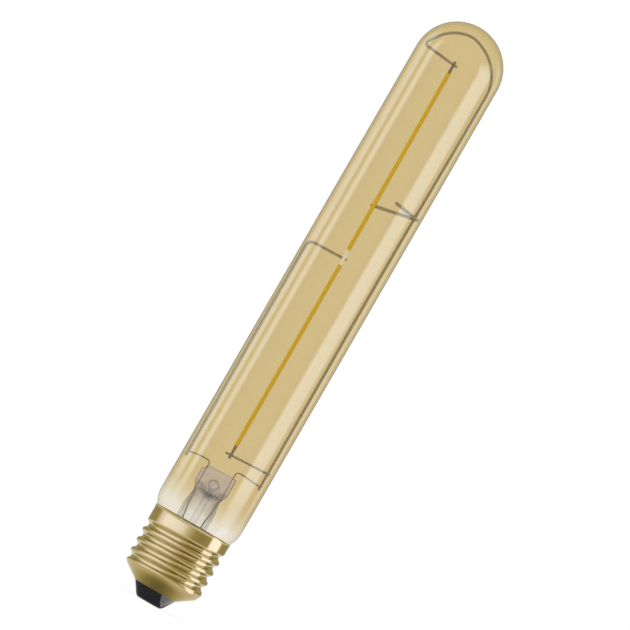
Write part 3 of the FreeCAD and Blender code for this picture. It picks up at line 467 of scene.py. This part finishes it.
# The studio. The light tent stands round the lamp and only gloss sees it. A band is given by where it
# shows across the tube or the cap's skirt, from the axis, and its brightness, and the ground by distance
# and brightness. These places and capR are in millimetres, and the other sizes in metres. A bright card
# has the light colour and a dim one the darkColour, as white and brass-coloured card.
studio = {
    "tentR": 0.15, "tentTop": 0.35, "eavesR": 0.06, "eavesRise": 0.05, "peakRise": 0.06, "around": 96,
    "hole": 0.0001, "groundMiddle": 0.0002, "groundEdge": 0.0003, "groundTop": 0.0004,
    "capR": 13.2, "whiteFrom": 0.5, "whiteSpan": 0.8,
    "glassBands": [(-14.5, 0.3), (-13.9, 0.4), (-13.3, 1.0), (-12.8, 1.4), (-11.6, 1.5), (-11.15, 0.5),
                   (-10.9, 0.05), (-10.55, 0.05), (-10.1, 1.0), (-9.6, 1.55), (-9.1, 1.5), (-8.8, 1.1),
                   (-8.2, 0.12), (-7.2, 0.18), (-4, 0.34), (4, 0.34), (5.4, 0.26), (6.2, 0.2), (7.1, 1.8),
                   (10.3, 1.65), (11.1, 0.15), (12.4, 0.15),
                   (12.7, 1.1), (13.3, 1.3), (13.7, 0.8), (14, 0.3), (14.5, 0.15)],
    "capBands": [(-13.2, 0.42), (-12, 0.45), (-10.9, 0.5), (-10, 1.05), (-8, 1.46), (-6, 1.4), (-4, 1.34),
                 (-2, 1.2), (0, 0.78), (2, 0.47), (4, 0.4), (6, 0.42), (7.3, 0.5), (7.8, 1.68),
                 (10.5, 1.72), (10.9, 0.55), (12, 0.42), (13.2, 0.42)],
    "ground": [(0.0, 0.1), (4.0, 0.24), (7.0, 0.38), (9.6, 0.55), (14.0, 0.74), (25.0, 0.85), (60.0, 0.85)],
    "groundSquash": 0.45,
    "glassLight": (0.99, 1.14, 1.2), "capLight": (1.0, 1.09, 1.52), "darkColour": (1.0, 0.92, 0.5),
    "roofFrom": 0.24, "roofFull": 0.31, "roof": 0.36,
    "cloth": (0.72, 0.69, 0.52), "clothFrom": 0.035, "clothFull": 0.12, "clothShare": 0.4,
    "capTop": 0.0296, "waist": 0.0305, "bandFull": 0.044, "lowGlass": 0.62,
    "farFrom": 0.026, "farFull": 0.032, "grazeFrom": 0.0104, "grazeFull": 0.0114,
    "ringTop": 0.0043, "ringR": 0.0073, "ringCardX": 0.0047, "ringSoft": 0.0002,
    "ringDark": 0.16, "ringLight": 1.3,
    "world": 1.0, "key": 2.4, "keyPlace": (-0.6, -0.8, 0.9), "keySide": 0.8,
    "floorSide": 6.0, "floor": 0.82, "floorGlow": 0.85, "floorSeen": 1.033,
}


# Where the tent's wall is mirrored at a place across a round body, as a share of the circle: the ray
# turns by twice the slope's angle and then runs on to the wall.
def cardAngle(across, radius, tent):
    lean = math.asin(max(min(across / radius, 1), -1))
    x, y = across, -math.sqrt(max(radius * radius - across * across, 0))
    dx, dy = math.sin(2 * lean), -math.cos(2 * lean)
    along = x * dx + y * dy
    run = -along + math.sqrt(along * along + tent * tent - radius * radius)
    return (math.atan2(x + run * dx, -(y + run * dy)) / math.pi + 1) / 2


# Sets cards on a colour ramp at places from 0 to 1. A card's colour is its level times a tone that goes
# from dark to light as the level goes from whiteFrom up by whiteSpan.
def setCards(ramp, places, levels, light):
    dark, light = np.array(studio["darkColour"]), np.array(light)
    shares = np.clip((np.array(levels) - studio["whiteFrom"]) / studio["whiteSpan"], 0, 1)[:, None]
    colours = np.array(levels)[:, None] * (dark + (light - dark) * shares)
    stops = ramp.color_ramp.elements
    for stop, end in ((stops[0], 0), (stops[1], -1)):
        stop.position, stop.color = places[end], tuple(colours[end]) + (1.0,)
    for at, colour in zip(places[1:-1], colours[1:-1]):
        stops.new(at).color = tuple(colour) + (1.0,)


# The wall's cards. A ray that comes from above the cap's top left the glass, which has its own bands, a
# dim roof over them, and one even light for the waist. The cap's bands fade into cloth higher up, which
# the thread's slopes mirror.
def wallCards(tree, place, comesFrom, glassBands, capBands):
    s = studio
    rise = addNode(tree, "ShaderNodeMapRange", {"From Min": s["waist"], "From Max": s["bandFull"]},
                   {"Value": comesFrom.outputs[0]})
    lowGlass = tuple(s["lowGlass"] * c for c in s["glassLight"]) + (1.0,)
    upper = addNode(tree, "ShaderNodeMix", {"data_type": "RGBA", 6: lowGlass},
                    {0: rise.outputs[0], 7: glassBands.outputs[0]})
    roof = addNode(tree, "ShaderNodeMapRange", {"From Min": s["roofFrom"], "From Max": s["roofFull"]},
                   {"Value": place.outputs["Z"]})
    roofCard = tuple(s["roof"] * c for c in s["darkColour"]) + (1.0,)
    overGlass = addNode(tree, "ShaderNodeMix", {"data_type": "RGBA", 7: roofCard},
                        {0: roof.outputs[0], 6: upper.outputs[2]})
    cloth = addNode(tree, "ShaderNodeMapRange",
                    {"From Min": s["clothFrom"], "From Max": s["clothFull"], "To Max": s["clothShare"]},
                    {"Value": place.outputs["Z"]})
    overCap = addNode(tree, "ShaderNodeMix", {"data_type": "RGBA", 7: s["cloth"] + (1.0,)},
                      {0: cloth.outputs[0], 6: capBands.outputs[0]})
    higher = addNode(tree, "ShaderNodeMath", {"operation": "GREATER_THAN", 1: s["capTop"]},
                     {0: comesFrom.outputs[0]})
    inRoof = addNode(tree, "ShaderNodeMath", {"operation": "GREATER_THAN", 1: s["roofFull"]},
                     {0: place.outputs["Z"]})
    split = addNode(tree, "ShaderNodeMath", {"operation": "MAXIMUM"},
                    {0: higher.outputs[0], 1: inRoof.outputs[0]})
    wall = addNode(tree, "ShaderNodeMix", {"data_type": "RGBA"},
                   {0: split.outputs[0], 6: overCap.outputs[2], 7: overGlass.outputs[2]})
    return wall


# The ground's cards: a ramp by distance from the axis, drawn out to the front and back, where distance
# counts groundSquash times. Farther out on the right the cap's bands run on where they are brighter, so
# that the thread's lower slopes mirror them too, but not for a ray that grazes the cap: it passes the
# axis at the length of the cross product of its place and level direction, over its level run.
def groundCards(tree, coords, place, level, run, capBands):
    s = studio
    flat = addNode(tree, "ShaderNodeVectorMath", {"operation": "MULTIPLY", 1: (1.0, s["groundSquash"], 0.0)},
                   {0: coords.outputs["Object"]})
    reach = addNode(tree, "ShaderNodeVectorMath", {"operation": "LENGTH"}, {0: flat.outputs[0]})
    far = s["ground"][-1][0]
    outward = addNode(tree, "ShaderNodeMapRange", {"From Max": far * 0.001},
                      {"Value": reach.outputs["Value"]})
    ground = addNode(tree, "ShaderNodeValToRGB", {}, {"Fac": outward.outputs[0]})
    setCards(ground, [at / far for at, shade in s["ground"]], [shade for at, shade in s["ground"]],
             s["capLight"])
    farOut = addNode(tree, "ShaderNodeMapRange", {"From Min": s["farFrom"], "From Max": s["farFull"]},
                     {"Value": reach.outputs["Value"]})
    isRight = addNode(tree, "ShaderNodeMath", {"operation": "GREATER_THAN", 1: 0.0},
                      {0: place.outputs["X"]})
    farRight = addNode(tree, "ShaderNodeMath", {"operation": "MULTIPLY"},
                       {0: farOut.outputs[0], 1: isRight.outputs[0]})
    turning = addNode(tree, "ShaderNodeVectorMath", {"operation": "CROSS_PRODUCT"},
                      {0: coords.outputs["Object"], 1: level.outputs[0]})
    moment = addNode(tree, "ShaderNodeVectorMath", {"operation": "LENGTH"}, {0: turning.outputs[0]})
    aside = addNode(tree, "ShaderNodeMath", {"operation": "DIVIDE"},
                    {0: moment.outputs["Value"], 1: run.outputs["Value"]})
    notGrazing = addNode(tree, "ShaderNodeMapRange",
                         {"From Min": s["grazeFrom"], "From Max": s["grazeFull"],
                          "To Min": 1.0, "To Max": 0.0}, {"Value": aside.outputs[0]})
    farBand = addNode(tree, "ShaderNodeMath", {"operation": "MULTIPLY"},
                      {0: farRight.outputs[0], 1: notGrazing.outputs[0]})
    banded = addNode(tree, "ShaderNodeMix", {"data_type": "RGBA", "blend_type": "LIGHTEN"},
                     {0: farBand.outputs[0], 6: ground.outputs[0], 7: capBands.outputs[0]})
    return banded


# The insulator's own card, dark on the left and light on the right, over the ground's: a ray comes
# from the insulator when, followed back up to the ring's top, it is within the ring's radius.
def ringCard(tree, coords, place, toward, level, ground):
    s = studio
    climb = addNode(tree, "ShaderNodeMath", {"operation": "DIVIDE", 0: s["ringTop"]},
                    {1: toward.outputs["Z"]})
    atTop = addNode(tree, "ShaderNodeVectorMath", {"operation": "MULTIPLY_ADD"},
                    {0: level.outputs[0], 1: climb.outputs[0], 2: coords.outputs["Object"]})
    offAxis = addNode(tree, "ShaderNodeVectorMath", {"operation": "LENGTH"}, {0: atTop.outputs[0]})
    fromRing = addNode(tree, "ShaderNodeMath", {"operation": "LESS_THAN", 1: s["ringR"]},
                       {0: offAxis.outputs["Value"]})
    toRight = addNode(tree, "ShaderNodeMapRange",
                      {"From Min": s["ringCardX"] - s["ringSoft"], "From Max": s["ringCardX"],
                       "To Min": s["ringDark"], "To Max": s["ringLight"]}, {"Value": place.outputs["X"]})
    patched = addNode(tree, "ShaderNodeMix", {"data_type": "RGBA"},
                      {0: fromRing.outputs[0], 6: ground.outputs[2], 7: toRight.outputs[0]})
    return patched


# A round wall, a roof and a ground of light cards: (R cos a, R sin a, z) along a closed profile. The
# bands follow the angle round the axis from the front. A mirrored ray comes from the height of its
# place on the wall plus the tent's radius times its slope, which is its climb over its level run.
def makeTent():
    s = studio
    r, top = s["tentR"], s["tentTop"]
    profile = np.array([[s["hole"], s["groundMiddle"]], [r, s["groundEdge"]], [r, top],
                        [s["eavesR"], top + s["eavesRise"]], [s["hole"], top + s["peakRise"]]])
    material, tree, output = newMaterial("tentCards")
    coords = addNode(tree, "ShaderNodeTexCoord")
    place = addNode(tree, "ShaderNodeSeparateXYZ", {}, {0: coords.outputs["Object"]})
    front = addNode(tree, "ShaderNodeMath", {"operation": "MULTIPLY", 1: -1.0}, {0: place.outputs["Y"]})
    angle = addNode(tree, "ShaderNodeMath", {"operation": "ARCTAN2"},
                    {0: place.outputs["X"], 1: front.outputs[0]})
    azimuth = addNode(tree, "ShaderNodeMapRange", {"From Min": -math.pi, "From Max": math.pi},
                      {"Value": angle.outputs[0]})
    glassBands = addNode(tree, "ShaderNodeValToRGB", {}, {"Fac": azimuth.outputs[0]})
    capBands = addNode(tree, "ShaderNodeValToRGB", {}, {"Fac": azimuth.outputs[0]})
    for ramp, bands, radius, light in ((glassBands, "glassBands", envelope["tubeR"], "glassLight"),
                                       (capBands, "capBands", s["capR"], "capLight")):
        places = [cardAngle(across, radius, r * 1000) for across, shade in s[bands]]
        setCards(ramp, places, [shade for across, shade in s[bands]], s[light])
    ray = addNode(tree, "ShaderNodeNewGeometry")
    toward = addNode(tree, "ShaderNodeSeparateXYZ", {}, {0: ray.outputs["Incoming"]})
    level = addNode(tree, "ShaderNodeVectorMath", {"operation": "MULTIPLY", 1: (1.0, 1.0, 0.0)},
                    {0: ray.outputs["Incoming"]})
    run = addNode(tree, "ShaderNodeVectorMath", {"operation": "LENGTH"}, {0: level.outputs[0]})
    slope = addNode(tree, "ShaderNodeMath", {"operation": "DIVIDE"},
                    {0: toward.outputs["Z"], 1: run.outputs["Value"]})
    comesFrom = addNode(tree, "ShaderNodeMath", {"operation": "MULTIPLY_ADD", 1: r},
                        {0: slope.outputs[0], 2: place.outputs["Z"]})
    wall = wallCards(tree, place, comesFrom, glassBands, capBands)
    ground = groundCards(tree, coords, place, level, run, capBands)
    patched = ringCard(tree, coords, place, toward, level, ground)
    isGround = addNode(tree, "ShaderNodeMath", {"operation": "LESS_THAN", 1: s["groundTop"]},
                       {0: place.outputs["Z"]})
    card = addNode(tree, "ShaderNodeMix", {"data_type": "RGBA"},
                   {0: isGround.outputs[0], 6: wall.outputs[2], 7: patched.outputs[2]})
    shader = addNode(tree, "ShaderNodeEmission", {"Strength": 1.0}, {"Color": card.outputs[2]})
    tree.links.new(shader.outputs[0], output.inputs["Surface"])
    material.cycles.emission_sampling = "NONE"  # the cards are mirrored, and light nothing
    faces = ringFaces(len(profile), s["around"]).tolist()
    return makePiece("lightTent", revolve(profile, s["around"]), faces, material)


# 1 for the camera's rays and for those that gloss or clear glass sends on.
def seenByEye(tree):
    path = addNode(tree, "ShaderNodeLightPath")
    first = addNode(tree, "ShaderNodeMath", {"operation": "MAXIMUM"},
                    {0: path.outputs["Is Camera Ray"], 1: path.outputs["Is Glossy Ray"]})
    seen = addNode(tree, "ShaderNodeMath", {"operation": "MAXIMUM"},
                   {0: first.outputs[0], 1: path.outputs["Is Transmission Ray"]})
    return seen.outputs[0]


# A square of pale matt paint under the lamp, which the eye also finds lit from within, so that it
# meets the white backdrop while the shadow stays on it.
def makeFloor():
    side = studio["floorSide"]
    points = np.array([[-side, -side, 0], [side, -side, 0], [side, side, 0], [-side, side, 0]])
    material, tree, output = newMaterial("paleFloor")
    paint = addNode(tree, "ShaderNodeBsdfDiffuse", {"Color": (studio["floor"],) * 3 + (1.0,)})
    white = addNode(tree, "ShaderNodeEmission", {"Color": (1, 1, 1, 1), "Strength": studio["floorSeen"]})
    glow = addNode(tree, "ShaderNodeMath", {"operation": "MULTIPLY", 1: studio["floorGlow"]},
                   {0: seenByEye(tree)})
    both = addNode(tree, "ShaderNodeMixShader", {},
                   {0: glow.outputs[0], 1: paint.outputs[0], 2: white.outputs[0]})
    tree.links.new(both.outputs[0], output.inputs["Surface"])
    return makePiece("floor", points, [[0, 1, 2, 3]], material)


# Only rays that gloss sends on may meet the tent.
tent = makeTent()
for ray in ("camera", "diffuse", "transmission", "volume_scatter", "shadow"):
    setattr(tent, "visible_" + ray, False)
floor = makeFloor()

# The sky lights the lamp evenly, and the eye finds it white.
world = bpy.data.worlds.new("studioWorld")
bpy.context.scene.world = world
world.use_nodes = True
sky = world.node_tree
sky.nodes.clear()
softLight = addNode(sky, "ShaderNodeBackground", {"Color": (1, 1, 1, 1), "Strength": studio["world"]})
whiteBack = addNode(sky, "ShaderNodeBackground", {"Color": (1, 1, 1, 1), "Strength": 1.0})
skyMix = addNode(sky, "ShaderNodeMixShader", {},
                 {0: seenByEye(sky), 1: softLight.outputs[0], 2: whiteBack.outputs[0]})
addNode(sky, "ShaderNodeOutputWorld", {}, {"Surface": skyMix.outputs[0]})

# A softbox high on the left, aimed at the lamp's foot, gives the floor its shadow and isn't mirrored.
keyData = bpy.data.lights.new("keySoftbox", "AREA")
keyData.size = studio["keySide"]
keyData.energy = studio["key"]
key = bpy.data.objects.new("keySoftbox", keyData)
key.location = studio["keyPlace"]
key.rotation_euler = (-Vector(studio["keyPlace"])).to_track_quat("-Z", "Y").to_euler()
key.visible_glossy = False
bpy.context.scene.collection.objects.link(key)

# The camera looks square on at the lamp, whose axis leans 30 degrees to the right in the picture.
# Its lens is so long that the picture is close to orthographic. Sizes are in millimetres and the lean
# is in degrees.
view = {"lens": 800.0, "sensor": 36.0, "frameMm": 196.9, "atX": 0.2, "atZ": 103.85, "lean": 30.0,
        "clip": 50000.0}
cameraData = bpy.data.cameras.new("camera")
cameraData.lens = view["lens"]
cameraData.sensor_width = view["sensor"]
cameraData.clip_end = view["clip"] * 0.001
camera = bpy.data.objects.new("camera", cameraData)
distance = view["frameMm"] * view["lens"] / view["sensor"]
camera.location = (view["atX"] * 0.001, -distance * 0.001, view["atZ"] * 0.001)
camera.rotation_euler = (math.radians(90), -math.radians(view["lean"]), 0)
bpy.context.scene.collection.objects.link(camera)
bpy.context.scene.camera = camera
bpy.context.scene.view_settings.view_transform = "Standard"
print("studio and camera set")
